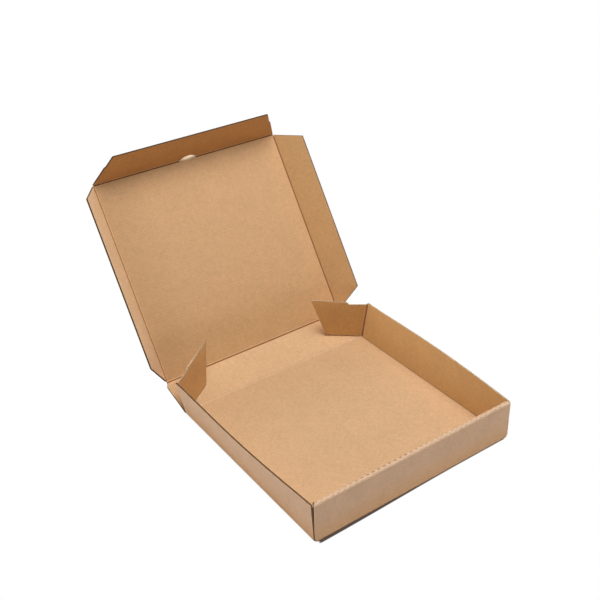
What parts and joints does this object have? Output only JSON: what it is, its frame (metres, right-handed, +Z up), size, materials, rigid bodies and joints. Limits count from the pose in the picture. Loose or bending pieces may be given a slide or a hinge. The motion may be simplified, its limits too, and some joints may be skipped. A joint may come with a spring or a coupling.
{
  "type": "pizza box",
  "caption": "Open corrugated-board pizza box folded from a single sheet: shallow tray with a rolled front wall, drop-back rear wall, flapped lid and rear corner tabs.",
  "frame": {"origin": "middle of the underside of the tray's floor, on the surface it stands on", "axes": "+Z up, +Y from the front wall to the rear wall and the lid, +X to the right as seen from the front"},
  "size_m": [0.2651, 0.3912, 0.2294],
  "materials": {
    "kraft_board": "matt brown kraft liner"
  },
  "bodies": {
    "tray": {"tray": "kraft_board"},
    "rear_wall": {"rear_wall": "kraft_board"},
    "lid_panel": {"lid_panel": "kraft_board"},
    "lid_left_flap": {"lid_left_flap": "kraft_board"},
    "lid_right_flap": {"lid_right_flap": "kraft_board"},
    "lid_front_flap": {"lid_front_flap": "kraft_board"},
    "left_rear_tab": {"left_rear_tab": "kraft_board"},
    "right_rear_tab": {"right_rear_tab": "kraft_board"}
  },
  "joints": [
    {"name": "rear_wall_fold", "type": "hinge", "parent": "tray", "child": "rear_wall", "pos_m": [0, 0.11175, 0.0015], "axis": [1, 0, 0], "range_deg": [-16, 74]},
    {"name": "lid_hinge", "type": "hinge", "parent": "rear_wall", "child": "lid_panel", "pos_m": [0, 0.1526, 0.01321], "axis": [1, 0, 0], "range_deg": [-40.4, 24]},
    {"name": "lid_left_flap_fold", "type": "hinge", "parent": "lid_panel", "child": "lid_left_flap", "pos_m": [-0.11225, 0.1526, 0.01321], "axis": [0, 0.5534, 0.8329], "range_deg": [-54.6, 36.4]},
    {"name": "lid_right_flap_fold", "type": "hinge", "parent": "lid_panel", "child": "lid_right_flap", "pos_m": [0.11225, 0.1526, 0.01321], "axis": [0, -0.5534, -0.8329], "range_deg": [-60.4, 30.6]},
    {"name": "lid_front_flap_fold", "type": "hinge", "parent": "lid_panel", "child": "lid_front_flap", "pos_m": [0, 0.27352, 0.19521], "axis": [1, 0, 0], "range_deg": [-64.5, 26.5]},
    {"name": "left_rear_tab_fold", "type": "hinge", "parent": "tray", "child": "left_rear_tab", "pos_m": [-0.1135, 0.10995, 0.0015], "axis": [0.1869, 0, -0.9824], "range_deg": [-10.93, 50.51]},
    {"name": "right_rear_tab_fold", "type": "hinge", "parent": "tray", "child": "right_rear_tab", "pos_m": [0.1135, 0.10995, 0.0015], "axis": [0.1961, 0, 0.9806], "range_deg": [-10.3, 47.61]}
  ],
  "couplings": [
    {"joint": "left_rear_tab_fold", "follows": "rear_wall_fold", "ratio": 0.68243},
    {"joint": "right_rear_tab_fold", "follows": "rear_wall_fold", "ratio": 0.64324}
  ]
}
